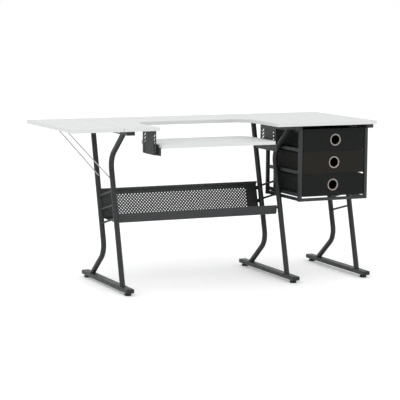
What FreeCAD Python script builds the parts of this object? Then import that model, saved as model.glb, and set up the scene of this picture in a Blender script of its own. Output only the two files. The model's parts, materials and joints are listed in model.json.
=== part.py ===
import FreeCAD, Part
import math
import os

# Sewing table: a white board top on three leaning leg frames, with a folding side leaf on a
# wire brace, a drop platform in a cut-out, a perforated tray and a rack of three fabric
# drawers.  Millimetres, +Z up, X along the front, the user sits on the -Y side.  The origin
# is on the floor under the middle of the top.

# --- driving dimensions -----------------------------------------------------------------
TABLE_WIDTH = 1543.0
TABLE_DEPTH = 610.0
TABLE_HEIGHT = 760.0
BOARD = 16.0
CORNER_R = 8.0
EDGE_R = 0.8

FRAMES = {"left": -484.4, "middle": 358.6, "right": 741.2}
TUBE_R = 12.5
TUBE_WALL = 1.2
BAR_WIDTH = 38.0
BAR_HEIGHT = 19.0
BAR_CORNER = 2.5
FOOT_FRONT = -277.0
FOOT_BACK = 289.0
HEAD_FRONT = -283.0
HEAD_BACK = 277.0
GLIDE_GAP = 13.5
LEAN = 0.258
FOOT_SLOPE = 0.802
BEND_R = 80.0
FOOT_REACH = 193.4
RUNG_R = 5.0
RUNG_HEIGHTS = (434.0, 372.0, 310.0)
RUNG_LIFTS = {"left": 0.0, "middle": 11.0, "right": 0.0}

CUT_LEFT = -351.0
CUT_RIGHT = 237.0
CUT_BACK = 8.0
CUT_CORNER_R = 85.0

HINGE_X = -524.0
HINGE_DROP = 4.5
SEAM_GAP = 2.0
HINGE_YS = (-215.0, 0.0, 215.0)
HINGE_LENGTH = 60.0
HINGE_PLATE = 1.5
KNUCKLE_R = 4.0
HINGE_PIN_R = 1.5
HINGE_RUNNING_R = 1.56
HINGE_REACH = 17.5

BRACE_R = 2.5
BRACE_HOLE_R = 2.56
BRACE_PIVOT_Z = 506.0
BRACE_TOP_X = -702.0
BRACE_TOP_DROP = 4.3
BRACE_TOP_YS = (-32.0, 82.0)
BRACE_ARM_GAP = 5.5
BRACE_BEND_R = 9.0

PLATFORM_DROP = 80.0
PLATFORM_GAP = 8.5
PLATFORM_FRONT = -305.0
PLATFORM_BACK = -3.0
HANGER_FRONT = -272.0
HANGER_BACK = -118.0
HANGER_BOTTOM = 630.0
HANGER_SHEET = 2.0
HANGER_OFFSET = 6.0
HANGER_FLANGE = 28.0
SLOT_YS = (-254.0, -145.0)
SLOT_LEVELS = 6
SLOT_TOP_Z = 718.0
SLOT_PITCH = 16.0
SLOT_LENGTH = 24.0
SLOT_WIDTH = 6.0
SLOT_TILT = 35.0
WEB_FRONT = -304.0
WEB_BACK = -95.0
HOOK_CLEARANCE = 0.4

TRAY_FLOOR_Z = 308.5
TRAY_TOP_Z = 443.0
TRAY_WALL_Y = 125.5
TRAY_LIP_Y = -100.0
TRAY_LIP_Z = 352.0
TRAY_SHEET = 1.5
TRAY_BEND_R = 14.0
TRAY_END_GAP = 1.5
HOLE_R = 2.8
HOLE_PITCH_X = 15.5
HOLE_PITCH_V = 8.0
HOLE_ROWS = 12
MESH_TOP_MARGIN = 28.0
MESH_SIDE_MARGIN = 47.0
TAB_SHEET = 3.0
TAB_REACH = 42.0
TAB_HALF = 9.0
TAB_BOLT = 33.0

RACK_LEFT = 364.3
RACK_RIGHT = 732.0
RACK_FRONT = -284.0
RACK_BACK = 60.0
RACK_BOTTOM = 388.0
RACK_TUBE = 16.0
RACK_RAIL = 14.0
RAIL_WIDTH = 12.0
RAIL_INSET = 7.3
LEDGE_WIDTH = 36.0
LEDGE_SHEET = 2.0
DRAWER_COUNT = 3
DRAWER_PITCH = 106.0
DRAWER_TOP_FLOOR = 623.0
DRAWER_HEIGHT = 95.0
DRAWER_WALL = 3.0
DRAWER_SIDE_GAP = 24.2
FRONT_GAP = 19.5
FRONT_HEIGHT = 104.0
FRONT_THICKNESS = 6.0
DRAWER_BACK = 33.0
RING_OUTER_R = 28.5
RING_INNER_R = 21.0
RING_NECK_R = 23.5
RING_FLANGE = 1.8
RING_SHIFTS = (8.0, 2.5, -2.5)

# --- derived levels ---------------------------------------------------------------------
UNDERSIDE = TABLE_HEIGHT - BOARD
HALF_WIDTH = TABLE_WIDTH / 2
HALF_DEPTH = TABLE_DEPTH / 2
FOOT_TOP = GLIDE_GAP + BAR_HEIGHT
HEAD_BOTTOM = UNDERSIDE - BAR_HEIGHT
MID_HEIGHT = (FOOT_TOP + HEAD_BOTTOM) / 2
HINGE_Z = UNDERSIDE - HINGE_DROP
LEAN_ANGLE = math.degrees(math.atan(LEAN))
BOARD_LEFT = CUT_LEFT + PLATFORM_GAP
BOARD_RIGHT = CUT_RIGHT - PLATFORM_GAP
PLATFORM_TOP = TABLE_HEIGHT - PLATFORM_DROP
PLATFORM_UNDER = PLATFORM_TOP - BOARD
CUT_MIDDLE = (CUT_LEFT + CUT_RIGHT) / 2


def vec(x, y, z):
    return FreeCAD.Vector(x, y, z)


def block(x0, x1, y0, y1, z0, z1):
    return Part.makeBox(x1 - x0, y1 - y0, z1 - z0, vec(x0, y0, z0))


def rod(start, end, radius):
    path = end - start
    return Part.makeCylinder(radius, path.Length, start, path)


def join(shapes):
    shapes = list(shapes)
    if len(shapes) == 1:
        return shapes[0]
    return shapes[0].multiFuse(shapes[1:]).removeSplitter()


def group(shapes):
    solids = []
    for shape in shapes:
        solids.extend(shape.Solids)
    return Part.makeCompound(solids)


def drill(shape, holes):
    holes = list(holes)
    return shape.cut(holes) if holes else shape


def mirrored(shape, x):
    """The shape's mirror image in the plane at this X."""
    return shape.mirror(vec(x, 0, 0), vec(1, 0, 0))


def export(name, shape):
    solids = shape.Solids
    for solid in solids:
        assert solid.isValid(), name
    if len(solids) == 1:
        shape = solids[0]
    shape.exportStep(os.path.join("parts", name + ".step"))
    print(name, len(solids), "solids", round(sum(s.Volume for s in solids) / 1000.0, 2), "cm3")


# --- paths ------------------------------------------------------------------------------
def rounded_edges(points, radius):
    """Straight runs joined by tangent arcs of one radius."""
    edges = []
    start = points[0]
    for before, corner, after in zip(points, points[1:], points[2:]):
        back = (before - corner).normalize()
        ahead = (after - corner).normalize()
        half = back.getAngle(ahead) / 2
        reach = radius / math.tan(half)
        first = corner + back * reach
        last = corner + ahead * reach
        inward = (back + ahead).normalize()
        middle = corner + inward * (radius / math.sin(half) - radius)
        edges.append(Part.LineSegment(start, first).toShape())
        edges.append(Part.Arc(first, middle, last).toShape())
        start = last
    edges.append(Part.LineSegment(start, points[-1]).toShape())
    return edges


def swept_rod(points, bend, radius):
    path = Part.Wire(rounded_edges(points, bend))
    along = points[1] - points[0]
    ring = Part.Wire([Part.makeCircle(radius, points[0], along)])
    return path.makePipeShell([ring], True, True)


def polygon_plate(points, along):
    """A flat polygon pushed along a vector."""
    wire = Part.makePolygon(list(points) + [points[0]])
    return Part.Face(wire).extrude(along)


# --- screws -----------------------------------------------------------------------------
def screw(seat, along, length, shank_r, head_r, head_height):
    """A pan-head screw: the head stands behind the seat and the shank runs along."""
    shank = rod(seat, seat + along * length, shank_r)
    head = rod(seat - along * head_height, seat, head_r)
    crown = seat - along * head_height
    dome = [e for e in head.Edges if e.isClosed() and e.BoundBox.Center.sub(crown).Length < 0.1]
    head = head.makeFillet(head_height * 0.4, dome)
    slot = block(-0.5, 0.5, -head_r * 0.6, head_r * 0.6, 0, head_height * 0.35)
    cross = slot.fuse(slot.rotated(vec(0, 0, 0), vec(0, 0, 1), 90))
    turn = FreeCAD.Rotation(vec(0, 0, 1), along)
    cross.Placement = FreeCAD.Placement(crown, turn)
    return join([shank, head]).cut(cross)


def pilot(seat, along, length, radius):
    return rod(seat, seat + along * length, radius)


# --- leg frames -------------------------------------------------------------------------
FRAME_SCREW_YS = (-250.0, 0.0, 245.0)
FRAME_SCREW_R = 2.0
FRAME_SCREW_LENGTH = BAR_HEIGHT + 11.0
GLIDE_YS = (FOOT_FRONT + 28.0, FOOT_BACK - 28.0)
GLIDE_R = 16.5
GLIDE_PAD = 9.5
STEM_R = 3.0
STEM_HOLE_R = 3.06


def straight_y(z):
    """Y of the rear tube's straight run; the front tube is its half-turn image."""
    bend_z = bend_corner().z
    return bend_corner().y + (z - bend_z) * LEAN


def bend_corner():
    """Where the rear tube's lean meets its kicked-back foot."""
    foot_line = FOOT_REACH + FOOT_TOP / FOOT_SLOPE
    lean_line = FOOT_REACH - 8.0 - HEAD_BOTTOM * LEAN
    z = (foot_line - lean_line) / (LEAN + 1 / FOOT_SLOPE)
    return vec(0, lean_line + z * LEAN, z)


def rear_points(x):
    corner = bend_corner()
    over = 30.0
    top = vec(x, straight_y(HEAD_BOTTOM + over), HEAD_BOTTOM + over)
    low_z = FOOT_TOP - over
    low = vec(x, FOOT_REACH + over / FOOT_SLOPE, low_z)
    return [top, vec(x, corner.y, corner.z), low]


def half_turn(points, x):
    return [vec(x, -p.y, 2 * MID_HEIGHT - p.z) for p in points]


def leg_tube(points, x):
    outer = swept_rod(points, BEND_R, TUBE_R)
    inner = swept_rod(points, BEND_R, TUBE_R - TUBE_WALL)
    slab = block(x - 30, x + 30, -400, 400, FOOT_TOP, HEAD_BOTTOM)
    return outer.cut(inner).common(slab), outer.common(slab)


def box_bar(x, y0, y1, z0):
    outer = block(x - BAR_WIDTH / 2, x + BAR_WIDTH / 2, y0, y1, z0, z0 + BAR_HEIGHT)
    long_edges = [e for e in outer.Edges if abs(e.tangentAt(0).y) > 0.9]
    outer = outer.makeFillet(BAR_CORNER, long_edges)
    w = TUBE_WALL
    inner = block(x - BAR_WIDTH / 2 + w, x + BAR_WIDTH / 2 - w, y0 - 1, y1 + 1, z0 + w, z0 + BAR_HEIGHT - w)
    long_edges = [e for e in inner.Edges if abs(e.tangentAt(0).y) > 0.9]
    return outer.cut(inner.makeFillet(BAR_CORNER - w, long_edges))


def bar_caps(x, y0, y1, z0):
    """Plastic plugs: a face over the end and a tongue inside the tube."""
    caps = []
    w = TUBE_WALL
    for end, inward in ((y0, 1), (y1, -1)):
        lip = sorted((end, end - inward * 3.0))
        tongue = sorted((end, end + inward * 10.0))
        face = block(x - BAR_WIDTH / 2, x + BAR_WIDTH / 2, lip[0], lip[1], z0, z0 + BAR_HEIGHT)
        rim = [e for e in face.Edges if abs(e.tangentAt(0).y) > 0.9]
        face = face.makeFillet(BAR_CORNER, rim)
        plug = block(x - BAR_WIDTH / 2 + w + 1.4, x + BAR_WIDTH / 2 - w - 1.4, tongue[0], tongue[1],
                     z0 + w, z0 + BAR_HEIGHT - w)
        caps.append(join([face, plug]))
    return caps


def glide(x, y):
    pad = Part.makeCylinder(GLIDE_R, GLIDE_PAD, vec(x, y, 0))
    rims = [e for e in pad.Edges if e.BoundBox.ZLength < 0.01]
    pad = pad.makeFillet(1.5, rims)
    stem = Part.makeCylinder(STEM_R, FOOT_TOP - 3.0, vec(x, y, 1.0))
    collar = Part.makeCylinder(6.0, GLIDE_GAP - GLIDE_PAD - 0.3, vec(x, y, GLIDE_PAD))
    return join([pad, stem, collar])


def rungs(x, lift, tubes):
    bars = []
    for level in RUNG_HEIGHTS:
        z = level + lift
        centre = vec(x, (z - MID_HEIGHT) * LEAN, z)
        across = vec(0, -1, LEAN).normalize() * 90.0
        bar = rod(centre - across, centre + across, RUNG_R)
        bars.append(bar.cut(tubes))
    return [piece for bar in bars for piece in bar.Solids]


def frame_screws(x):
    seats = [vec(x, y, HEAD_BOTTOM) for y in FRAME_SCREW_YS]
    return [screw(seat, vec(0, 0, 1), FRAME_SCREW_LENGTH, FRAME_SCREW_R, 4.5, 2.5) for seat in seats]


def build_frames():
    caps = []
    screws = []
    for name, x in FRAMES.items():
        rear, rear_full = leg_tube(rear_points(x), x)
        front, front_full = leg_tube(half_turn(rear_points(x), x), x)
        if name == "left":
            rear = drill(rear, brace_pivot_holes())
            front = drill(front, brace_pivot_holes())
        if name in ("middle", "right"):
            front = drill(front, rack_bolt_holes(name))
        foot = box_bar(x, FOOT_FRONT, FOOT_BACK, GLIDE_GAP)
        foot = drill(foot, [Part.makeCylinder(STEM_HOLE_R, 12.0, vec(x, y, 5.0)) for y in GLIDE_YS])
        head = box_bar(x, HEAD_FRONT, HEAD_BACK, HEAD_BOTTOM)
        head = drill(head, [Part.makeCylinder(FRAME_SCREW_R, 40.0, vec(x, y, HEAD_BOTTOM - 5.0))
                            for y in FRAME_SCREW_YS])
        export(name + "_rear_tube", rear)
        export(name + "_front_tube", front)
        export(name + "_foot_bar", foot)
        export(name + "_top_bar", head)
        export(name + "_rungs", group(rungs(x, RUNG_LIFTS[name], [rear_full, front_full])))
        export(name + "_front_glide", glide(x, GLIDE_YS[0]))
        export(name + "_rear_glide", glide(x, GLIDE_YS[1]))
        caps += bar_caps(x, FOOT_FRONT, FOOT_BACK, GLIDE_GAP)
        caps += bar_caps(x, HEAD_FRONT, HEAD_BACK, HEAD_BOTTOM)
        screws += frame_screws(x)
    export("bar_end_caps", group(caps))
    export("frame_screws", group(screws))


# --- top, leaf and hinges ---------------------------------------------------------------
HINGE_SCREW_R = 1.5
HINGE_SCREW_LENGTH = 12.0
HANGER_SCREW_R = 1.75
HANGER_SCREW_YS = (-255.0, -195.0, -135.0)
CATCH_SCREW_YS = (-20.0, 70.0)
CATCH_SCREW_LENGTH = 16.0


def board(outline, z0, thickness):
    """A board cut from an outline of (x, y, corner radius), with its arrises eased."""
    plate = polygon_plate([vec(x, y, z0) for x, y, _ in outline], vec(0, 0, thickness))
    for x, y, radius in outline:
        if radius:
            edge = [e for e in plate.Edges if e.BoundBox.ZLength > thickness * 0.9
                    and abs(e.BoundBox.Center.x - x) < 0.01 and abs(e.BoundBox.Center.y - y) < 0.01]
            plate = plate.makeFillet(radius, edge)
    rims = [e for e in plate.Edges if e.BoundBox.ZLength < 0.01]
    return plate.makeFillet(EDGE_R, rims)


def hinge_screw_seats(side):
    x = HINGE_X + side * (HINGE_REACH - 6.0)
    return [vec(x, y + dy, UNDERSIDE - HINGE_PLATE) for y in HINGE_YS for dy in (-20.0, 20.0)]


def hanger_screw_seats(side):
    x = CUT_MIDDLE + side * (CUT_RIGHT - CUT_MIDDLE + HANGER_OFFSET + HANGER_FLANGE * 0.6)
    return [vec(x, y, UNDERSIDE - HANGER_SHEET) for y in HANGER_SCREW_YS]


def build_top():
    left = HINGE_X + SEAM_GAP / 2
    outline = [(left, -HALF_DEPTH, 0), (CUT_LEFT, -HALF_DEPTH, 6.0), (CUT_LEFT, CUT_BACK, CUT_CORNER_R),
               (CUT_RIGHT, CUT_BACK, CUT_CORNER_R), (CUT_RIGHT, -HALF_DEPTH, 6.0),
               (HALF_WIDTH, -HALF_DEPTH, CORNER_R), (HALF_WIDTH, HALF_DEPTH, CORNER_R), (left, HALF_DEPTH, 0)]
    top = board(outline, UNDERSIDE, BOARD)
    up = vec(0, 0, 1)
    holes = [pilot(vec(x, y, UNDERSIDE - 1), up, 12.0, FRAME_SCREW_R)
             for x in FRAMES.values() for y in FRAME_SCREW_YS]
    holes += [pilot(seat, up, HINGE_SCREW_LENGTH, HINGE_SCREW_R) for seat in hinge_screw_seats(1)]
    for side in (-1, 1):
        holes += [pilot(seat, up, 13.0, HANGER_SCREW_R) for seat in hanger_screw_seats(side)]
    export("main_top", drill(top, holes))


def build_leaf():
    right = HINGE_X - SEAM_GAP / 2
    outline = [(right, HALF_DEPTH, 0), (-HALF_WIDTH, HALF_DEPTH, CORNER_R),
               (-HALF_WIDTH, -HALF_DEPTH, CORNER_R), (right, -HALF_DEPTH, 0)]
    leaf = board(outline, UNDERSIDE, BOARD)
    up = vec(0, 0, 1)
    holes = [pilot(seat, up, HINGE_SCREW_LENGTH, HINGE_SCREW_R) for seat in hinge_screw_seats(-1)]
    holes += [pilot(seat, up, CATCH_SCREW_LENGTH, HINGE_SCREW_R) for seat in catch_screw_seats()]
    export("side_leaf", drill(leaf, holes))


def knuckle_spans(y, outer):
    """The outer knuckles belong to the fixed plate and the middle one to the leaf's plate."""
    third = HINGE_LENGTH / 3
    gap = 0.25
    if outer:
        return [(y - 1.5 * third, y - 0.5 * third - gap), (y + 0.5 * third + gap, y + 1.5 * third)]
    return [(y - 0.5 * third + gap, y + 0.5 * third - gap)]


def hinge_plate(y, side):
    inner = 5.2
    flat = sorted((HINGE_X + side * inner, HINGE_X + side * HINGE_REACH))
    pieces = [block(flat[0], flat[1], y - HINGE_LENGTH / 2, y + HINGE_LENGTH / 2,
                    UNDERSIDE - HINGE_PLATE, UNDERSIDE)]
    bores = []
    for y0, y1 in knuckle_spans(y, side > 0):
        tongue = sorted((HINGE_X + side * 0.8, HINGE_X + side * inner))
        pieces.append(block(tongue[0], tongue[1], y0, y1, UNDERSIDE - HINGE_PLATE, UNDERSIDE - 0.3))
        pieces.append(rod(vec(HINGE_X, y0, HINGE_Z), vec(HINGE_X, y1, HINGE_Z), KNUCKLE_R))
        radius = HINGE_PIN_R if side > 0 else HINGE_RUNNING_R
        bores.append(rod(vec(HINGE_X, y0 - 1, HINGE_Z), vec(HINGE_X, y1 + 1, HINGE_Z), radius))
    plate = join(pieces).cut(bores)
    holes = [pilot(seat - vec(0, 0, 1), vec(0, 0, 1), 4.0, HINGE_SCREW_R) for seat in hinge_screw_seats(side)]
    return drill(plate, holes)


def build_hinges():
    up = vec(0, 0, 1)
    for side, label in ((1, "top"), (-1, "leaf")):
        export("hinge_plates_" + label, group([hinge_plate(y, side) for y in HINGE_YS]))
        screws = [screw(seat, up, HINGE_SCREW_LENGTH, HINGE_SCREW_R, 2.8, 1.4)
                  for seat in hinge_screw_seats(side)]
        export("hinge_screws_" + label, group(screws))
    half = HINGE_LENGTH / 2
    pins = []
    for y in HINGE_YS:
        pins.append(rod(vec(HINGE_X, y - half, HINGE_Z), vec(HINGE_X, y + half, HINGE_Z), HINGE_PIN_R))
    export("hinge_pins", group(pins))


# --- leaf brace -------------------------------------------------------------------------
def brace_tube_ys():
    """Inner faces of the left frame's tubes at the brace's pivot height, front then rear."""
    axis_z = BRACE_PIVOT_Z
    grow = TUBE_R * math.sqrt(1 + LEAN * LEAN)
    rear = straight_y(axis_z) - grow
    front = -straight_y(2 * MID_HEIGHT - axis_z) + grow
    return front, rear


def brace_pivot_holes():
    front, rear = brace_tube_ys()
    x = FRAMES["left"]
    return [rod(vec(x, front - 9, BRACE_PIVOT_Z), vec(x, rear + 9, BRACE_PIVOT_Z), BRACE_HOLE_R)]


def build_brace():
    front, rear = brace_tube_ys()
    x = FRAMES["left"]
    top_z = UNDERSIDE - BRACE_TOP_DROP
    tip = 8.0
    points = [vec(x, front - tip, BRACE_PIVOT_Z), vec(x, front + BRACE_ARM_GAP, BRACE_PIVOT_Z),
              vec(BRACE_TOP_X, BRACE_TOP_YS[0], top_z), vec(BRACE_TOP_X, BRACE_TOP_YS[1], top_z),
              vec(x, rear - BRACE_ARM_GAP, BRACE_PIVOT_Z), vec(x, rear + tip, BRACE_PIVOT_Z)]
    export("leaf_brace", swept_rod(points, BRACE_R + 1.5, BRACE_R))


def catch_screw_seats():
    return [vec(BRACE_TOP_X + 8.0, y, UNDERSIDE - 7.0) for y in CATCH_SCREW_YS]


def build_catch():
    """A moulded seat: a stop on the hinge side of the wire and a shallow lip on the other."""
    x = BRACE_TOP_X
    y0 = BRACE_TOP_YS[0] + 8.0
    y1 = BRACE_TOP_YS[1] - 8.0
    base = block(x - 12.0, x + 13.0, y0, y1, UNDERSIDE - 1.5, UNDERSIDE)
    stop = block(x + 3.2, x + 13.0, y0, y1, UNDERSIDE - 7.0, UNDERSIDE - 1.5)
    lip = block(x - 9.0, x - 3.2, y0, y1, UNDERSIDE - 2.4, UNDERSIDE - 1.5)
    catch = join([base, stop, lip])
    up = vec(0, 0, 1)
    holes = [pilot(seat - up, up, 10.0, HINGE_SCREW_R) for seat in catch_screw_seats()]
    export("brace_catch", drill(catch, holes))
    screws = [screw(seat, up, CATCH_SCREW_LENGTH, HINGE_SCREW_R, 2.8, 1.4) for seat in catch_screw_seats()]
    export("catch_screws", group(screws))


# --- drop platform ----------------------------------------------------------------------
def slot_cut(y, z, x0, x1):
    """A slanted slot with round ends, rising towards the front."""
    half = (SLOT_LENGTH - SLOT_WIDTH) / 2
    r = SLOT_WIDTH / 2
    body = block(x0, x1, -half, half, -r, r)
    ends = [rod(vec(x0, s * half, 0), vec(x1, s * half, 0), r) for s in (-1, 1)]
    cut = join([body] + ends)
    cut.rotate(vec(0, 0, 0), vec(1, 0, 0), -SLOT_TILT)
    cut.translate(vec(0, y, z))
    return cut


def right_hanger():
    x = CUT_RIGHT + HANGER_OFFSET
    plate = block(x, x + HANGER_SHEET, HANGER_FRONT, HANGER_BACK, HANGER_BOTTOM, UNDERSIDE)
    low = [e for e in plate.Edges if e.BoundBox.ZLength < 0.01 and e.BoundBox.YLength < 0.01
           and e.BoundBox.Center.z < HANGER_BOTTOM + 1]
    plate = plate.makeFillet(9.0, low)
    flange = block(x, x + HANGER_FLANGE, HANGER_FRONT, HANGER_BACK, UNDERSIDE - HANGER_SHEET, UNDERSIDE)
    hanger = join([plate, flange])
    slots = [slot_cut(y, SLOT_TOP_Z - k * SLOT_PITCH, x - 2, x + HANGER_SHEET + 2)
             for y in SLOT_YS for k in range(SLOT_LEVELS)]
    holes = [pilot(seat - vec(0, 0, 3), vec(0, 0, 1), 8.0, HANGER_SCREW_R) for seat in hanger_screw_seats(1)]
    return drill(drill(hanger, slots), holes)


PLATFORM_SCREW_YS = (-262.0, -195.0, -115.0)


def platform_screw_seats(side):
    x = CUT_MIDDLE + side * (BOARD_RIGHT - CUT_MIDDLE - 18.0)
    return [vec(x, y, PLATFORM_UNDER - HANGER_SHEET) for y in PLATFORM_SCREW_YS]


def right_bracket():
    """An angle under the board's edge, with a raised lug and two hooks facing the hanger."""
    x0 = BOARD_RIGHT + 4.5
    x1 = x0 + HANGER_SHEET
    web = block(x0, x1, WEB_FRONT, WEB_BACK, HANGER_BOTTOM, PLATFORM_UNDER)
    lug = block(x0, x1, HANGER_FRONT + 2, HANGER_BACK, PLATFORM_UNDER - 5, PLATFORM_TOP - 2)
    nose = [e for e in web.Edges if e.BoundBox.ZLength < 0.01 and e.BoundBox.YLength < 0.01
            and e.BoundBox.Center.z < HANGER_BOTTOM + 1]
    web = web.makeFillet(8.0, nose)
    flange = block(BOARD_RIGHT - 32.0, x1, WEB_FRONT + 26.0, WEB_BACK,
                   PLATFORM_UNDER - HANGER_SHEET, PLATFORM_UNDER)
    hook_z = SLOT_TOP_Z - (SLOT_LEVELS - 1) * SLOT_PITCH
    reach = CUT_RIGHT + HANGER_OFFSET - HOOK_CLEARANCE
    hooks = [block(x0, reach, y - 2.0, y + 9.0, hook_z - 4.0, hook_z + 0.5) for y in SLOT_YS]
    bracket = join([web, lug, flange] + hooks)
    up = vec(0, 0, 1)
    holes = [pilot(seat - up * 3.0, up, 8.0, HANGER_SCREW_R) for seat in platform_screw_seats(1)]
    return drill(bracket, holes)


def build_platform():
    corner = CUT_CORNER_R - PLATFORM_GAP
    outline = [(BOARD_LEFT, PLATFORM_FRONT, 5.0), (BOARD_RIGHT, PLATFORM_FRONT, 5.0),
               (BOARD_RIGHT, PLATFORM_BACK, corner), (BOARD_LEFT, PLATFORM_BACK, corner)]
    plank = board(outline, PLATFORM_UNDER, BOARD)
    up = vec(0, 0, 1)
    seats = platform_screw_seats(-1) + platform_screw_seats(1)
    export("platform_board", drill(plank, [pilot(seat, up, 13.0, HANGER_SCREW_R) for seat in seats]))
    export("platform_bracket_right", right_bracket())
    export("platform_bracket_left", mirrored(right_bracket(), CUT_MIDDLE))
    export("platform_screws", group([screw(seat, up, 13.0, HANGER_SCREW_R, 3.5, 2.0) for seat in seats]))
    export("hanger_plate_right", right_hanger())
    export("hanger_plate_left", mirrored(right_hanger(), CUT_MIDDLE))
    seats = hanger_screw_seats(-1) + hanger_screw_seats(1)
    export("hanger_screws", group([screw(seat, up, 13.0, HANGER_SCREW_R, 3.5, 2.0) for seat in seats]))


# --- storage tray -----------------------------------------------------------------------
TRAY_X0 = FRAMES["left"] + TUBE_R + TRAY_END_GAP
TRAY_X1 = FRAMES["middle"] - TUBE_R - TRAY_END_GAP
BOLT_R = 3.0
BOLT_ZS = (411.0, 349.0)


def tray_wall_y(z):
    return TRAY_WALL_Y - (TRAY_TOP_Z - z) * LEAN


def bent_sheet(points, bend, x0, x1, sheet):
    """A sheet folded along a section in the YZ plane; the section is its inner face."""
    line = Part.Wire(rounded_edges([vec(x0, y, z) for y, z in points], bend))
    strip = line.makeOffset2D(sheet, 0, True, True, False)
    return strip.extrude(vec(x1 - x0, 0, 0))


def mesh_blank(length):
    """The flat panel's plate, in its own plane: X along, Z up the slope, Y its thickness."""
    height = (HOLE_ROWS - 1) * HOLE_PITCH_V + 2 * HOLE_R + 6.0
    return block(-length / 2, length / 2, 0, TRAY_SHEET, -height, 0)


def place_on_wall(shape):
    start = TRAY_TOP_Z - MESH_TOP_MARGIN / math.sqrt(1 + LEAN * LEAN)
    shape.rotate(vec(0, 0, 0), vec(1, 0, 0), -LEAN_ANGLE)
    shape.translate(vec((TRAY_X0 + TRAY_X1) / 2, tray_wall_y(start), start))
    return shape


def mesh_panel(length):
    height = (HOLE_ROWS - 1) * HOLE_PITCH_V + 2 * HOLE_R + 6.0
    columns = int((length - 2 * HOLE_R - 6.0) / HOLE_PITCH_X)
    half = length / 2
    rim = [vec(-half, 0, -height), vec(half, 0, -height), vec(half, 0, 0), vec(-half, 0, 0)]
    wires = [Part.makePolygon(rim + rim[:1])]
    for row in range(HOLE_ROWS):
        shift = 0.25 if row % 2 else -0.25
        for column in range(columns):
            x = (column - (columns - 1) / 2 + shift) * HOLE_PITCH_X
            z = -(HOLE_R + 3.0 + row * HOLE_PITCH_V)
            wires.append(Part.Wire([Part.makeCircle(HOLE_R, vec(x, 0, z), vec(0, 1, 0))]))
    face = Part.Face(wires, "Part::FaceMakerBullseye")
    return face.extrude(vec(0, TRAY_SHEET, 0))


def tray_section():
    """Lip, floor and leaning wall as (y, z) corners, from the lip's edge to the wall's."""
    top_z = TRAY_TOP_Z - 1.0
    return [(TRAY_LIP_Y, TRAY_LIP_Z), (TRAY_LIP_Y + 4.0, TRAY_FLOOR_Z),
            (tray_wall_y(TRAY_FLOOR_Z), TRAY_FLOOR_Z), (tray_wall_y(top_z), top_z)]


def tray_hem():
    """The wall's top edge, folded forwards and down."""
    hem_y = TRAY_WALL_Y - 11.0
    top = block(TRAY_X0, TRAY_X1, hem_y, TRAY_WALL_Y + 1.2, TRAY_TOP_Z - TRAY_SHEET, TRAY_TOP_Z)
    face = block(TRAY_X0, TRAY_X1, hem_y, hem_y + TRAY_SHEET, TRAY_TOP_Z - 10.0, TRAY_TOP_Z)
    return [top, face]


def wall_point(x, z, offset):
    """A point off the wall's inner face, measured square to the wall towards the back."""
    angle = math.radians(LEAN_ANGLE)
    return vec(x, tray_wall_y(z) + offset * math.cos(angle), z - offset * math.sin(angle))


def tray_bolt_places():
    """The X and Z of each bolt through a tab and the wall."""
    xs = (FRAMES["left"] + TAB_BOLT, FRAMES["middle"] - TAB_BOLT)
    return [(x, z) for x in xs for z in BOLT_ZS]


def tray_bolt_holes():
    return [rod(wall_point(x, z, -12.0), wall_point(x, z, 12.0), BOLT_R) for x, z in tray_bolt_places()]


def tray_tabs():
    """Flat lugs welded to the rear tubes, which the wall is bolted to from behind."""
    tabs = []
    for name, side in (("left", 1), ("middle", -1)):
        x = FRAMES[name]
        tube = leg_tube(rear_points(x), x)[1]
        span = sorted((x, x + side * TAB_REACH))
        for z in BOLT_ZS:
            tab = block(span[0], span[1], -TAB_SHEET, 0, -TAB_HALF, TAB_HALF)
            tip = [e for e in tab.Edges if e.BoundBox.YLength > 1
                   and abs(e.BoundBox.Center.x - x - side * TAB_REACH) < 0.1]
            tab = tab.makeFillet(4.0, tip)
            tab.rotate(vec(0, 0, 0), vec(1, 0, 0), -LEAN_ANGLE)
            tab.translate(vec(0, tray_wall_y(z), z))
            tabs.append(drill(tab.cut(tube), tray_bolt_holes()))
    return tabs


def tray_bolts():
    bolts = []
    for x, z in tray_bolt_places():
        seat = wall_point(x, z, -TAB_SHEET)
        along = wall_point(x, z, 1.0) - wall_point(x, z, 0.0)
        back = wall_point(x, z, TRAY_SHEET)
        bolts.append(screw(seat, along, TAB_SHEET + TRAY_SHEET + 6.5, BOLT_R, 5.5, 3.0))
        nut = polygon_plate([vec(5.5 * math.cos(a), 5.5 * math.sin(a), 0)
                             for a in [math.radians(60 * k) for k in range(6)]], vec(0, 0, 4.5))
        nut.Placement = FreeCAD.Placement(back, FreeCAD.Rotation(vec(0, 0, 1), along))
        bolts.append(nut.cut(rod(back - along, back + along * 6.0, BOLT_R)))
    return bolts


def build_tray():
    trough = join([bent_sheet(tray_section(), TRAY_BEND_R, TRAY_X0, TRAY_X1, TRAY_SHEET)] + tray_hem())
    length = TRAY_X1 - TRAY_X0 - 2 * MESH_SIDE_MARGIN
    window = place_on_wall(mesh_blank(length))
    export("storage_tray", drill(trough.cut(window), tray_bolt_holes()))
    export("tray_mesh_panel", place_on_wall(mesh_panel(length)))
    export("tray_tabs", group(tray_tabs()))
    export("tray_bolts", group(tray_bolts()))


# --- drawer rack ------------------------------------------------------------------------
RACK_TOP = HEAD_BOTTOM
RACK_BOLT_ZS = (RACK_BOTTOM + RACK_RAIL / 2, DRAWER_TOP_FLOOR - DRAWER_PITCH + RACK_RAIL / 2 - 0.3)


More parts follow.
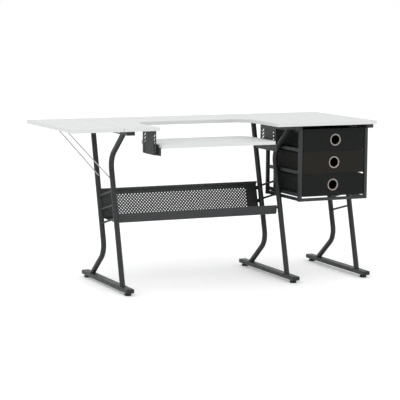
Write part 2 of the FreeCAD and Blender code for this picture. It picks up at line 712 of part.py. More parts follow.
def square_tube(x0, x1, y0, y1, z0, z1, axis):
    """A thin-walled box tube, open at the ends of the named axis."""
    w = TUBE_WALL
    low = [x0 + w, y0 + w, z0 + w]
    high = [x1 - w, y1 - w, z1 - w]
    k = "xyz".index(axis)
    low[k] -= w + 1
    high[k] += w + 1
    core = block(low[0], high[0], low[1], high[1], low[2], high[2])
    outer = block(x0, x1, y0, y1, z0, z1)
    direction = [0, 0, 0]
    direction[k] = 1
    edges = [e for e in outer.Edges if abs(e.tangentAt(0).dot(vec(*direction))) > 0.9]
    return outer.makeFillet(1.2, edges).cut(core)


def both_sides(shape):
    return [shape, mirrored(shape, (RACK_LEFT + RACK_RIGHT) / 2)]


def drawer_floor(index):
    return DRAWER_TOP_FLOOR - index * DRAWER_PITCH


def rack_bolt_y(z):
    return -straight_y(2 * MID_HEIGHT - z)


def rack_bolt_seats(name):
    side = -1 if name == "middle" else 1
    reach = RAIL_INSET + RAIL_WIDTH
    wall = RACK_LEFT + reach if side < 0 else RACK_RIGHT - reach
    return [vec(wall, rack_bolt_y(z), z) for z in RACK_BOLT_ZS], vec(side, 0, 0)


def rack_bolt_holes(name):
    seats, along = rack_bolt_seats(name)
    return [rod(seat, seat + along * 26.0, BOLT_R) for seat in seats]


def build_rack():
    uprights = []
    for y0, y1 in ((RACK_FRONT, RACK_FRONT + RACK_TUBE), (RACK_BACK - RACK_TUBE, RACK_BACK)):
        post = square_tube(RACK_LEFT, RACK_LEFT + RACK_TUBE, y0, y1, RACK_BOTTOM, RACK_TOP, "z")
        uprights += both_sides(post)
    export("rack_uprights", group(uprights))

    x0 = RACK_LEFT + RAIL_INSET
    x1 = x0 + RAIL_WIDTH
    y0 = RACK_FRONT + RACK_TUBE
    y1 = RACK_BACK - RACK_TUBE
    holes = rack_bolt_holes("middle") + rack_bolt_holes("right")
    top = both_sides(square_tube(x0, x1, y0, y1, RACK_TOP - RACK_RAIL, RACK_TOP, "y"))
    top.append(square_tube(RACK_LEFT + RACK_TUBE, RACK_RIGHT - RACK_TUBE, RACK_BACK - RACK_RAIL, RACK_BACK,
                           RACK_TOP - RACK_RAIL, RACK_TOP, "x"))
    export("rack_top_rails", group(top))

    low = both_sides(square_tube(x0, x1, y0, y1, RACK_BOTTOM, RACK_BOTTOM + RACK_RAIL, "y"))
    for a, b in ((RACK_FRONT, RACK_FRONT + RACK_RAIL), (RACK_BACK - RACK_RAIL, RACK_BACK)):
        low.append(square_tube(RACK_LEFT + RACK_TUBE, RACK_RIGHT - RACK_TUBE, a, b,
                               RACK_BOTTOM, RACK_BOTTOM + RACK_RAIL, "x"))
    export("rack_bottom_rails", group([drill(rail, holes) for rail in low]))

    rails = []
    ledges = []
    for index in range(DRAWER_COUNT):
        z = drawer_floor(index) - 0.3
        rails += both_sides(square_tube(x0, x1, y0, y1, z, z + RACK_RAIL, "y"))
        ledges += both_sides(block(x0, RACK_LEFT + LEDGE_WIDTH, y0, y1, z - LEDGE_SHEET, z))
    export("rack_side_rails", group([drill(rail, holes) for rail in rails]))
    export("rack_ledges", group(ledges))

    bolts = []
    for name in ("middle", "right"):
        seats, along = rack_bolt_seats(name)
        bolts += [screw(seat, along, 24.0, BOLT_R, 5.5, 3.0) for seat in seats]
    export("rack_bolts", group(bolts))


# --- drawers ----------------------------------------------------------------------------
def ring_centre(index):
    x = (RACK_LEFT + RACK_RIGHT) / 2 + RING_SHIFTS[index]
    return vec(x, RACK_FRONT + 2.0, drawer_floor(index) - 1.0 + FRONT_HEIGHT / 2)


def drawer_box(index):
    z0 = drawer_floor(index)
    x0 = RACK_LEFT + DRAWER_SIDE_GAP
    x1 = RACK_RIGHT - DRAWER_SIDE_GAP
    front = RACK_FRONT + 2.0
    body = block(x0, x1, front + FRONT_THICKNESS, DRAWER_BACK, z0, z0 + DRAWER_HEIGHT)
    corners = [e for e in body.Edges if e.BoundBox.ZLength > 1 and e.BoundBox.Center.y > 0]
    body = body.makeFillet(5.0, corners)
    w = DRAWER_WALL
    hollow = block(x0 + w, x1 - w, front + FRONT_THICKNESS, DRAWER_BACK - w, z0 + w, z0 + DRAWER_HEIGHT + 1)
    face = block(RACK_LEFT + FRONT_GAP, RACK_RIGHT - FRONT_GAP, front, front + FRONT_THICKNESS,
                 z0 - 1.0, z0 - 1.0 + FRONT_HEIGHT)
    rim = [e for e in face.Edges if e.BoundBox.YLength > 1]
    face = face.makeFillet(3.0, rim)
    centre = ring_centre(index)
    eye = rod(centre - vec(0, 2, 0), centre + vec(0, FRONT_THICKNESS + 2, 0), RING_NECK_R)
    return join([body.cut(hollow), face]).cut(eye)


def base_board(index):
    """The stiff board that lies in the bottom of the fabric box."""
    inset = DRAWER_SIDE_GAP + DRAWER_WALL + 1.0
    z0 = drawer_floor(index) + DRAWER_WALL
    return block(RACK_LEFT + inset, RACK_RIGHT - inset, RACK_FRONT + 2.0 + FRONT_THICKNESS + 1.0,
                 DRAWER_BACK - DRAWER_WALL - 1.0, z0, z0 + 2.5)


def eyelet(index):
    """A two-sided ring: a flange on each face of the drawer's front and a neck between."""
    centre = ring_centre(index)
    across = vec(0, FRONT_THICKNESS, 0)
    flange = vec(0, RING_FLANGE, 0)
    pieces = []
    for start, end in ((centre - flange, centre), (centre + across, centre + across + flange)):
        disc = rod(start, end, RING_OUTER_R)
        rim = [e for e in disc.Edges if e.BoundBox.YLength < 0.01]
        pieces.append(disc.makeFillet(RING_FLANGE * 0.4, rim))
    pieces.append(rod(centre - flange, centre + across + flange, RING_NECK_R))
    bore = rod(centre - flange - flange, centre + across + flange + flange, RING_INNER_R)
    return join(pieces).cut(bore)


def build_drawers():
    for index in range(DRAWER_COUNT):
        name = "drawer_%d" % (index + 1)
        export(name + "_box", drawer_box(index))
        export(name + "_base_board", base_board(index))
        export(name + "_ring", eyelet(index))


def main():
    os.makedirs("parts", exist_ok=True)
    build_frames()
    build_top()
    build_leaf()
    build_hinges()
    build_brace()
    build_catch()
    build_platform()
    build_tray()
    build_rack()
    build_drawers()


main()
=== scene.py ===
# %% [markdown]
# # A sewing table with a drop platform, a folding leaf and fabric drawers
# The table's hard parts come ready made from CAD: boards, leaning tubes, tray, rack and fittings.
# This lesson gives each of them a finish, and models what CAD leaves plain: cloth drawers, pressed
# eyelets, weld beads, moulded plugs and levelling feet. Everything shares one frame in metres, with
# +Z up and the seated user on the -Y side.

# %% Load the frame
import json
import math
import bmesh
import bpy
from mathutils import Matrix, Vector, noise


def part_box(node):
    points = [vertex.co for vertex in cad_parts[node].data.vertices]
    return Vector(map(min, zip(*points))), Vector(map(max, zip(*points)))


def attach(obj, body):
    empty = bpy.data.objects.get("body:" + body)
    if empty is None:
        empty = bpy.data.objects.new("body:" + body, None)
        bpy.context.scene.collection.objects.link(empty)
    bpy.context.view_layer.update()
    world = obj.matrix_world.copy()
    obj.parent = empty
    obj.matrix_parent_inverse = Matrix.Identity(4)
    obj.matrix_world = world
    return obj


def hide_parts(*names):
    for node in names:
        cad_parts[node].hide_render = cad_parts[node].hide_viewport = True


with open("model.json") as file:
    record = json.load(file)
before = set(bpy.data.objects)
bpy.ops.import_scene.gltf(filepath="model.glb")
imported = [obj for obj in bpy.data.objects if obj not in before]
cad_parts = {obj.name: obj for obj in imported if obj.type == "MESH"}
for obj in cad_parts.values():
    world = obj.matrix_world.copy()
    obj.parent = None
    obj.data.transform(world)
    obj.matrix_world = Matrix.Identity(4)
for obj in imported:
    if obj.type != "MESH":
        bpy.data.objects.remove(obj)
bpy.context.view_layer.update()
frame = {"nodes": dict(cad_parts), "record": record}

nodes = frame["nodes"]
slot_of = {part["node"]: part["material_slot"] for part in frame["record"]["subparts"]}
print("CAD nodes:", len(nodes), "slots:", len(set(slot_of.values())))

# %% [markdown]
# ## The camera
# A long lens far away keeps the table's edges nearly parallel, as catalogue views do. The camera
# stands to the left of the table, a little above the top, and looks down by about seven degrees.
# The turns are multiplied in the order heading, tilt, roll, because each acts in the frame of the
# one before it.

# %% Place the camera
camera = bpy.data.objects.new("table_camera", bpy.data.cameras.new("table_camera"))
bpy.context.scene.collection.objects.link(camera)
bpy.context.scene.camera = camera
heading = Matrix.Rotation(math.radians(-24.87), 4, "Z")
tilt = Matrix.Rotation(math.radians(90 - 7.364), 4, "X")
roll = Matrix.Rotation(math.radians(0.392), 4, "Z")
camera.matrix_world = Matrix.Translation((-3.1314, -6.7254, 1.3394)) @ heading @ tilt @ roll
camera.data.lens = 141.9
camera.data.sensor_width = 36.0
camera.data.clip_end = 100.0
print("camera at", [round(v, 3) for v in camera.location])

# %% [markdown]
# ## Light and floor
# The table stands on a white studio floor under soft light from everywhere, with a broad lamp
# overhead at the left and another in front, so that the board edges read brighter than the top.
# A white world does most of the work, and the two area lights give the metal something to reflect.
# The Standard view keeps white paint white.

# %% Light the studio
world = bpy.data.worlds.new("studio")
bpy.context.scene.world = world
world.use_nodes = True
world.node_tree.nodes["Background"].inputs["Color"].default_value = (1.0, 1.0, 1.0, 1.0)
world.node_tree.nodes["Background"].inputs["Strength"].default_value = 1.0
bpy.context.scene.view_settings.view_transform = "Standard"


def soft_light(name, place, target, size, power):
    """A square area light at one place, facing another."""
    data = bpy.data.lights.new(name, "AREA")
    data.size = size
    data.energy = power
    lamp = bpy.data.objects.new(name, data)
    lamp.location = place
    lamp.rotation_euler = (Vector(target) - Vector(place)).to_track_quat("-Z", "Y").to_euler()
    bpy.context.scene.collection.objects.link(lamp)


soft_light("overhead_left", (-2.2, -1.8, 3.6), (0.0, 0.0, 0.6), 2.5, 30.0)
soft_light("front_right", (2.6, -4.6, 1.3), (0.2, 0.0, 0.6), 2.2, 14.0)

# %% [markdown]
# ## A way to write materials
# Every finish here is a Principled shader with two or three noises in front of it. They read Object
# coordinates, which are metres in this file, so a noise scale of 500 has grains of about 2 mm.
# A few helpers keep the recipes short: they add a node, stretch a value's range, fade between two
# colours, and turn heights into bump. A number that is the same all over stays on the shader's own
# socket.

# %% Material helpers
def new_finish(name, roughness, metallic=0.0, specular=0.5):
    finish = bpy.data.materials.new(name)
    finish.use_nodes = True
    shader = finish.node_tree.nodes["Principled BSDF"]
    shader.inputs["Roughness"].default_value = roughness
    shader.inputs["Metallic"].default_value = metallic
    shader.inputs["Specular IOR Level"].default_value = specular
    return finish, finish.node_tree, shader


def add(tree, kind, values=None, **settings):
    """A node with its settings and its unlinked values."""
    made = tree.nodes.new("ShaderNode" + kind)
    for key, value in settings.items():
        setattr(made, key, value)
    for key, value in (values or {}).items():
        made.inputs[key].default_value = value
    return made


def place_on_object(tree, stretch=(1.0, 1.0, 1.0)):
    """Object coordinates, squeezed where a grain is longer one way than another."""
    coordinates = add(tree, "TexCoord")
    mapping = add(tree, "Mapping", {"Scale": stretch})
    tree.links.new(coordinates.outputs["Object"], mapping.inputs["Vector"])
    return mapping.outputs["Vector"]


def grain(tree, vector, scale, detail=3.0, roughness=0.5):
    texture = add(tree, "TexNoise", {"Scale": scale, "Detail": detail, "Roughness": roughness})
    tree.links.new(vector, texture.inputs["Vector"])
    return texture.outputs["Fac"]


def window(tree, value, low, high, to_low=0.0, to_high=1.0):
    """Stretches the part of a value between low and high over a new range."""
    limits = {"From Min": low, "From Max": high, "To Min": to_low, "To Max": to_high}
    ramp = add(tree, "MapRange", limits)
    tree.links.new(value, ramp.inputs["Value"])
    return ramp.outputs["Result"]


def fade(tree, factor, first, second):
    """Mixes two colours, either of which may be another mix."""
    mix = add(tree, "Mix", data_type="RGBA")
    tree.links.new(factor, mix.inputs["Factor"])
    for name, colour in (("A", first), ("B", second)):
        socket = next(s for s in mix.inputs if s.name == name and s.type == "RGBA")
        if isinstance(colour, tuple):
            socket.default_value = (*colour, 1.0)
        else:
            tree.links.new(colour, socket)
    return next(s for s in mix.outputs if s.type == "RGBA")


def bump(tree, shader, height, strength, distance):
    raised = add(tree, "Bump", {"Strength": strength, "Distance": distance})
    tree.links.new(height, raised.inputs["Height"])
    tree.links.new(raised.outputs["Normal"], shader.inputs["Normal"])


def face_slope(tree):
    """How level a face lies, 0 on an edge face and 1 on a top or an underside, and which way up."""
    geometry = add(tree, "NewGeometry")
    parts = add(tree, "SeparateXYZ")
    tree.links.new(geometry.outputs["True Normal"], parts.inputs["Vector"])
    size = add(tree, "Math", operation="ABSOLUTE")
    tree.links.new(parts.outputs["Z"], size.inputs[0])
    return size.outputs["Value"], parts.outputs["Z"]


finishes = {}
print("helpers ready")

# %% [markdown]
# ## White melamine
# The boards are particle board under a pressed white foil. The foil has a fine pearl texture, and
# the edges carry a separate band that is a touch whiter, with a hairline of glue at each arris.
# A painted image could show this, but three noises and the direction of each face are enough, and
# they stay sharp at any distance. The eased arris is the only place where a face is neither
# level nor upright, so its slope finds the hairline.

# %% Finish the boards
def melamine(name):
    finish, tree, shader = new_finish(name, 0.42, specular=0.4)
    place = place_on_object(tree)
    sheet = fade(tree, grain(tree, place, 5.0, 2.0), (0.650, 0.658, 0.660), (0.672, 0.678, 0.678))
    fleck = window(tree, grain(tree, place, 900.0, 2.0), 0.35, 0.65)
    sheet = fade(tree, window(tree, fleck, 0.0, 1.0, 0.0, 0.10), sheet, (0.60, 0.61, 0.612))
    slope = face_slope(tree)[0]
    banded = fade(tree, window(tree, slope, 0.25, 0.08), sheet, (0.612, 0.618, 0.616))
    arris = add(tree, "Math", operation="MULTIPLY")
    tree.links.new(window(tree, slope, 0.12, 0.3), arris.inputs[0])
    tree.links.new(window(tree, slope, 0.97, 0.9), arris.inputs[1])
    glued = fade(tree, arris.outputs["Value"], banded, (0.57, 0.575, 0.575))
    tree.links.new(glued, shader.inputs["Base Color"])
    gloss = window(tree, grain(tree, place, 30.0), 0.3, 0.7, 0.38, 0.48)
    tree.links.new(gloss, shader.inputs["Roughness"])
    bump(tree, shader, grain(tree, place, 620.0, 2.0), 0.12, 0.0002)
    return finish


finishes["white_board"] = melamine("white_melamine")
print("finish:", finishes["white_board"].name)

# %% [markdown]
# ## Charcoal powder coat
# The frames, tray and rack are steel under charcoal powder paint. Baked powder flows into a fine
# orange peel, and handling leaves small paler rubs. What faces up is also mixed paler in patches.
# The same recipe serves all three, with its own tone and gloss for each: thin sheet comes out
# smoother and a little lighter than tube.

# %% Finish the painted steel
def powder_coat(name, tone, rubbed, gloss, peel, upward_pale=0.12):
    finish, tree, shader = new_finish(name, gloss, specular=0.35)
    place = place_on_object(tree)
    paint = fade(tree, window(tree, grain(tree, place, 9.0, 3.0), 0.35, 0.65),
                 tone, tuple(1.18 * part for part in tone))
    scuffs = grain(tree, place_on_object(tree, (1.0, 0.35, 2.2)), 70.0, 5.0, 0.7)
    marks = window(tree, scuffs, 0.66, 0.74)
    paint = fade(tree, window(tree, marks, 0.0, 1.0, 0.0, 0.5), paint, rubbed)
    # What faces up is mixed a little paler, in patches set by a noise.
    up = face_slope(tree)[1]
    paler_upward = add(tree, "Math", operation="MULTIPLY")
    tree.links.new(window(tree, up, 0.6, 1.0, 0.0, upward_pale), paler_upward.inputs[0])
    tree.links.new(window(tree, grain(tree, place, 140.0, 4.0), 0.35, 0.7), paler_upward.inputs[1])
    paint = fade(tree, paler_upward.outputs["Value"], paint, (0.20, 0.20, 0.19))
    tree.links.new(paint, shader.inputs["Base Color"])
    sheen = window(tree, grain(tree, place, 45.0, 4.0), 0.3, 0.7, gloss - 0.06, gloss + 0.08)
    tree.links.new(sheen, shader.inputs["Roughness"])
    bump(tree, shader, grain(tree, place, peel, 2.0, 0.4), 0.22, 0.0004)
    return finish


finishes["frame_paint"] = powder_coat("frame_powder_coat", (0.017, 0.0195, 0.0205),
                                      (0.05, 0.052, 0.052), 0.46, 520.0)
finishes["tray_paint"] = powder_coat("tray_powder_coat", (0.026, 0.0285, 0.029),
                                     (0.062, 0.063, 0.063), 0.42, 640.0)
finishes["rack_paint"] = powder_coat("rack_powder_coat", (0.018, 0.0205, 0.022),
                                     (0.05, 0.052, 0.053), 0.48, 520.0)
print("painted:", sum(slot_of[n] in finishes for n in nodes), "nodes with boards")

# %% [markdown]
# ## Bare and plated metal
# Hinges are bright zinc, the screws are black oxide, the leaf's brace is plated spring wire, and
# the drawer eyelets are antique nickel. Plating follows the metal's fine drawing lines, so the
# noise is stretched along the wire's length, and its crystals make the zinc slightly blotchy.
# Metal colour goes in the base colour with Metallic at one; roughness carries the scratches.

# %% Finish the metals
def plated(name, tone, worn, roughness, stretch, scale, lines=0.10, metallic=1.0):
    finish, tree, shader = new_finish(name, roughness, metallic=metallic)
    place = place_on_object(tree)
    drawn = grain(tree, place_on_object(tree, stretch), scale, 3.0, 0.6)
    cloud = window(tree, grain(tree, place, 120.0, 3.0), 0.35, 0.65)
    tree.links.new(fade(tree, cloud, tone, worn), shader.inputs["Base Color"])
    scratched = window(tree, drawn, 0.3, 0.7, roughness - 0.07, roughness + 0.12)
    tree.links.new(scratched, shader.inputs["Roughness"])
    bump(tree, shader, drawn, lines, 0.0001)
    return finish


even = (1.0, 1.0, 1.0)
along_y = (1.0, 0.1, 1.0)
across_y = (0.15, 1.0, 0.15)
finishes["zinc"] = plated("zinc_plate", (0.56, 0.56, 0.55), (0.44, 0.45, 0.45), 0.34,
                          along_y, 1500.0)
finishes["black_screw"] = plated("black_oxide", (0.030, 0.030, 0.030), (0.055, 0.052, 0.048), 0.42,
                                 even, 1800.0, metallic=0.6)
finishes["brace_wire"] = plated("bright_wire", (0.46, 0.46, 0.45), (0.34, 0.34, 0.33), 0.26,
                                across_y, 2200.0)
finishes["ring_nickel"] = plated("antique_nickel", (0.36, 0.315, 0.275), (0.22, 0.19, 0.165), 0.30,
                                 even, 1700.0, lines=0.12)
metals = ("zinc", "black_screw", "brace_wire", "ring_nickel")
print("metals:", [finishes[slot].name for slot in metals])

# %% [markdown]
# ## Moulded plastic and card
# Plugs and levelling feet are black plastic from a spark-eroded mould, so their skin is evenly
# frosted. The catch is the same in white. The drawer bases are grey-black pressed card, whose
# surface shows matted fibres and pale specks. A tight noise frosts the plastic, and a threshold on
# a second noise scatters the specks.

# %% Finish plastic and card
def frosted(name, tone, lighter, roughness, scale=1300.0):
    finish, tree, shader = new_finish(name, roughness, specular=0.4)
    place = place_on_object(tree)
    skin = grain(tree, place, scale, 2.0)
    tree.links.new(fade(tree, window(tree, grain(tree, place, 60.0), 0.3, 0.7), tone, lighter),
                   shader.inputs["Base Color"])
    frost = window(tree, skin, 0.3, 0.7, roughness - 0.05, roughness + 0.07)
    tree.links.new(frost, shader.inputs["Roughness"])
    bump(tree, shader, skin, 0.18, 0.0002)
    return finish


def pressed_card(name, tone, speck):
    finish, tree, shader = new_finish(name, 0.88, specular=0.2)
    place = place_on_object(tree)
    fibres = grain(tree, place_on_object(tree, (1.0, 0.3, 1.0)), 900.0, 5.0, 0.7)
    card = fade(tree, fibres, tone, tuple(1.7 * part for part in tone))
    specks = window(tree, grain(tree, place, 420.0, 1.0), 0.70, 0.74, 0.0, 0.6)
    card = fade(tree, specks, card, speck)
    tree.links.new(card, shader.inputs["Base Color"])
    bump(tree, shader, fibres, 0.3, 0.0003)
    return finish


finishes["cap_plastic"] = frosted("plug_plastic", (0.012, 0.012, 0.013), (0.018, 0.018, 0.019), 0.5)
finishes["glide_plastic"] = frosted("foot_plastic", (0.010, 0.010, 0.011), (0.016, 0.016, 0.016),
                                    0.52)
finishes["catch_plastic"] = frosted("catch_plastic", (0.70, 0.70, 0.69), (0.76, 0.76, 0.75), 0.4)
finishes["card_board"] = pressed_card("base_card", (0.030, 0.030, 0.031), (0.16, 0.16, 0.15))
print("moulded and pressed finishes ready")

# %% [markdown]
# ## Non-woven drawer cloth
# The drawers are covered in black spun-bonded cloth: matted fibres, pressed together at a grid of
# tiny dots. From near the dots read as shallow pits about 2 mm apart; from far away the cloth is a
# soft near-black that catches light at grazing angles. A cell texture makes the pits, a very fine
# noise makes the fibres, and a little sheen gives the fuzz. The middle drawer's cloth has faded
# towards brown, so it gets its own tones.

# %% Finish the cloth
def spun_cloth(name, tone, fibre, faded, sheen):
    finish, tree, shader = new_finish(name, 0.92, specular=0.12)
    shader.inputs["Sheen Weight"].default_value = sheen
    shader.inputs["Sheen Roughness"].default_value = 0.5
    place = place_on_object(tree)
    cells = add(tree, "TexVoronoi", {"Scale": 520.0, "Randomness": 0.35}, feature="F1")
    tree.links.new(place, cells.inputs["Vector"])
    pits = window(tree, cells.outputs["Distance"], 0.12, 0.42)
    threads = grain(tree, place_on_object(tree, (1.0, 1.0, 0.45)), 2600.0, 4.0, 0.7)
    cloth = fade(tree, threads, tone, fibre)
    # The pits are painted darker towards their middles: painted shade in each hollow.
    shade = window(tree, pits, 0.0, 1.0, 0.35, 0.0)
    cloth = fade(tree, shade, cloth, tuple(0.55 * part for part in tone))
    patches = window(tree, grain(tree, place, 14.0, 4.0), 0.42, 0.75, 0.0, 0.6)
    cloth = fade(tree, patches, cloth, faded)
    tree.links.new(cloth, shader.inputs["Base Color"])
    height = add(tree, "Math", {1: 0.35}, operation="MULTIPLY_ADD")
    tree.links.new(threads, height.inputs[0])
    tree.links.new(pits, height.inputs[2])
    bump(tree, shader, height.outputs["Value"], 0.45, 0.0004)
    return finish


fuzz = 0.03
finishes["drawer_fabric"] = spun_cloth("black_cloth", (0.0080, 0.0090, 0.0090),
                                       (0.0145, 0.0160, 0.0158), (0.0120, 0.0128, 0.0126), fuzz)
finishes["drawer_fabric_worn"] = spun_cloth("faded_cloth", (0.0125, 0.0120, 0.0100),
                                            (0.0210, 0.0198, 0.0165), (0.0185, 0.0172, 0.0140),
                                            fuzz)
print("cloth finishes:", finishes["drawer_fabric"].name, finishes["drawer_fabric_worn"].name)

# %% [markdown]
# ## Dress the CAD parts
# Each CAD node already has one empty material slot, named after the finish that its maker chose.
# Filling the slots by that name dresses the whole table in one loop, and no part can be missed.

# %% Give every CAD node its finish
for name, node in nodes.items():
    node.material_slots[0].material = finishes[slot_of[name]]
print("dressed", len(nodes), "nodes")

# %% [markdown]
# ## From a bmesh to a finished piece
# The pieces below are all made with bmesh operators and then end in the same way: doubles are
# merged, faces are turned outwards, flats stay flat while gentle bends are shaded smooth, and the
# piece rides on the body of the part that it stands for. Sharp edges are marked by angle, so no
# modifier is needed.

# %% A finishing helper
def finished(bm, name, body, slot, stands_for=(), sharp=32.0):
    bmesh.ops.remove_doubles(bm, verts=bm.verts, dist=1e-6)
    bmesh.ops.recalc_face_normals(bm, faces=bm.faces)
    for face in bm.faces:
        face.smooth = True
    for edge in bm.edges:
        edge.smooth = edge.is_boundary or edge.calc_face_angle(0.0) < math.radians(sharp)
    mesh = bpy.data.meshes.new(name)
    bm.to_mesh(mesh)
    bm.free()
    mesh.materials.append(finishes[slot])
    piece = bpy.data.objects.new(name, mesh)
    bpy.context.scene.collection.objects.link(piece)
    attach(piece, body)
    if stands_for:
        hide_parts(*stands_for)
    print(name, len(mesh.polygons), "faces")
    return piece


# %% [markdown]
# ## Drawer fronts
# A drawer front is a card stiffener sewn into cloth, with a round hole for the eyelet. Cloth over
# card is never quite flat: it bellies a little between its edges and wanders by half a millimetre.
# It starts as a fine grid. The faces inside the hole are deleted and the hole's rim is pulled onto
# a circle, then the sheet is extruded to its thickness and its rim is bevelled, like a folded hem.
# The lowest drawer's card has gone limp at its top right corner, which droops.

# %% Sizes of the drawers
def metres(corner):
    return Vector([round(value, 5) for value in corner])


front_thickness = 0.006
front_height = 0.1057
front_overhang = 0.0004
front_corner = 0.004
front_hem = 0.0016
hole_radius = 0.0238
drawer_names = ("drawer_1", "drawer_2", "drawer_3")
cloth_slot = {name: slot_of[name + "_box"] for name in drawer_names}
box_of = {name: [metres(corner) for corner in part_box(name + "_box")] for name in drawer_names}
ring_of = {name: [metres(corner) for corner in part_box(name + "_ring")] for name in drawer_names}
ring_centre = {name: (low + high) / 2 for name, (low, high) in ring_of.items()}
print("drawer box", [round(v, 3) for v in box_of["drawer_1"][1] - box_of["drawer_1"][0]])


# %% Shape one front
def droop(x, z, low, high):
    """How far the limp corner of the lowest front hangs down."""
    along = max(0.0, (x - (high.x - 0.030)) / 0.030)
    up = max(0.0, (z - low.z) / (high.z - low.z) - 0.35) / 0.65
    return 0.0092 * along ** 1.4 * up


def drawer_front(name):
    low, high = box_of[name]
    low = Vector((low.x, low.y, low.z - front_overhang))
    high = Vector((high.x, low.y + front_thickness, low.z + front_height))
    hole = ring_centre[name]
    bm = bmesh.new()
    upright = Matrix.Rotation(math.radians(90), 4, "X")
    bmesh.ops.create_grid(bm, x_segments=84, y_segments=26, size=0.5, matrix=upright)
    bmesh.ops.scale(bm, verts=bm.verts, vec=(high.x - low.x, 1.0, high.z - low.z))
    middle = (low + high) / 2
    bmesh.ops.translate(bm, verts=bm.verts, vec=(middle.x, low.y, middle.z))
    flat = Vector((1.0, 0.0, 1.0))
    inside = [f for f in bm.faces
              if ((f.calc_center_median() - hole) * flat).length < hole_radius]
    bmesh.ops.delete(bm, geom=inside, context="FACES")
    for vert in bm.verts:
        away = (vert.co - hole) * flat
        if vert.is_boundary and away.length < hole_radius * 1.6:
            vert.co += away.normalized() * hole_radius - away
    for vert in bm.verts:
        dx = max(0.0, abs(vert.co.x - middle.x) - (high.x - low.x) / 2 + front_corner)
        dz = max(0.0, abs(vert.co.z - middle.z) - (high.z - low.z) / 2 + front_corner)
        if dx and dz:
            reach = math.hypot(dx, dz) / max(dx, dz)
            vert.co.x -= math.copysign(dx - dx / reach, vert.co.x - middle.x)
            vert.co.z -= math.copysign(dz - dz / reach, vert.co.z - middle.z)
    made = bmesh.ops.extrude_face_region(bm, geom=bm.faces[:])
    back = [g for g in made["geom"] if isinstance(g, bmesh.types.BMVert)]
    bmesh.ops.translate(bm, verts=back, vec=(0.0, front_thickness, 0.0))
    bmesh.ops.recalc_face_normals(bm, faces=bm.faces)
    rim = [e for e in bm.edges if e.calc_face_angle(0.0) > 1.0
           and ((e.verts[0].co - hole) * flat).length > hole_radius * 1.2]
    bmesh.ops.bevel(bm, geom=rim, affect="EDGES", offset=front_hem, segments=3, profile=0.5,
                    material=-1, clamp_overlap=True)
    for vert in bm.verts:
        across = min(1.0, max(0.0, (vert.co.x - low.x) / (high.x - low.x)))
        up = min(1.0, max(0.0, (vert.co.z - low.z) / (high.z - low.z)))
        near_ring = min(1.0, ((vert.co - hole) * flat).length / 0.045)
        belly = math.sin(math.pi * across) * math.sin(math.pi * up)
        wander = noise.noise(Vector((vert.co.x * 14.0, 3.0 * low.z, vert.co.z * 22.0)))
        vert.co.y -= 0.0008 * belly + 0.0011 * wander * near_ring
        if name == "drawer_3":
            vert.co.z -= droop(vert.co.x, vert.co.z, low, high)
    return finished(bm, name + "_front", name, cloth_slot[name], (name + "_box",))


for name in drawer_names:
    drawer_front(name)

# %% [markdown]
# ## Drawer boxes
# Behind the front hangs an open box of the same cloth over thin card: two sides, a back and a
# floor, with a doubled hem round the top. Cloth walls bow a little between the corners. The box
# starts as a cube whose top and front faces are removed. Its upright corners are bevelled, its
# walls are cut into bands so that they can bow, and only then do they get their thickness.

# %% Shape one box
shell_inset = 0.007
shell_height = 0.096
shell_wall = 0.0026
hem_depth = 0.014
wall_bow = 0.0022
bands = 16


def cut(bm, place, normal):
    everything = bm.verts[:] + bm.edges[:] + bm.faces[:]
    bmesh.ops.bisect_plane(bm, geom=everything, dist=1e-5, plane_co=place, plane_no=normal)


def drawer_shell(name):
    low, high = box_of[name]
    start = Vector((low.x + shell_inset, low.y + front_thickness + 0.0002, low.z + 0.001))
    end = Vector((high.x - shell_inset, high.y, low.z + shell_height))
    size = end - start
    middle = (start + end) / 2
    bm = bmesh.new()
    bmesh.ops.create_cube(bm, size=1.0)
    bmesh.ops.scale(bm, verts=bm.verts, vec=size)
    bmesh.ops.translate(bm, verts=bm.verts, vec=middle)
    gone = [f for f in bm.faces if f.normal.z > 0.9 or f.normal.y < -0.9]
    bmesh.ops.delete(bm, geom=gone, context="FACES")
    posts = [e for e in bm.edges
             if abs(e.verts[0].co.z - e.verts[1].co.z) > 0.01 and not e.is_boundary]
    bmesh.ops.bevel(bm, geom=posts, affect="EDGES", offset=0.006, segments=4, profile=0.5,
                    material=-1)
    hem = end.z - hem_depth
    for level in (hem, hem + 0.0008, hem + 0.007, start.z + 0.02, start.z + 0.05):
        cut(bm, (0, 0, level), (0, 0, 1))
    for step in range(1, bands):
        depth = start.y + (size.y - 0.007) * step / bands
        cut(bm, (0, depth, 0), (0, 1, 0))
        across = start.x + 0.007 + (size.x - 0.014) * step / bands
        cut(bm, (across, 0, 0), (1, 0, 0))
    for vert in bm.verts:
        up = (vert.co.z - start.z) / size.z
        deep = (vert.co.y - start.y) / size.y
        wide = (vert.co.x - start.x) / size.x
        ripple = Vector((vert.co.y * 11.0, vert.co.z * 16.0, vert.co.x * 9.0 + low.z * 5.0))
        wall = abs(wide - 0.5) * 2.0
        bow = wall_bow * math.sin(math.pi * deep) * up + 0.0006 * noise.noise(ripple)
        vert.co.x -= math.copysign(bow * (wall > 0.93), wide - 0.5)
        vert.co.y -= 0.0018 * math.sin(math.pi * wide) * up * (deep > 0.97)
        if vert.co.z > hem + 0.0005:
            vert.co.x += 0.0007 * math.copysign(1.0, wide - 0.5) * (wall > 0.93)
            vert.co.y += 0.0005 * (deep > 0.97)
    bmesh.ops.recalc_face_normals(bm, faces=bm.faces)
    turned = sum((f.calc_center_median() - middle).dot(f.normal) * f.calc_area()
                 for f in bm.faces)
    if turned < 0:
        bmesh.ops.reverse_faces(bm, faces=bm.faces)
    bmesh.ops.solidify(bm, geom=bm.faces[:], thickness=shell_wall)
    return finished(bm, name + "_shell", name, cloth_slot[name], (name + "_box",), 50.0)


for name in drawer_names:
    drawer_shell(name)

# %% [markdown]
# ## Stitches
# A row of thread runs along the hem of each box. One stitch is a short rod with rounded ends, sunk
# by half into the cloth. Hundreds of them are needed, so each has only a few faces: a six-sided
# cylinder whose two ends are tapered. Copies of it are laid end to end with a small gap.

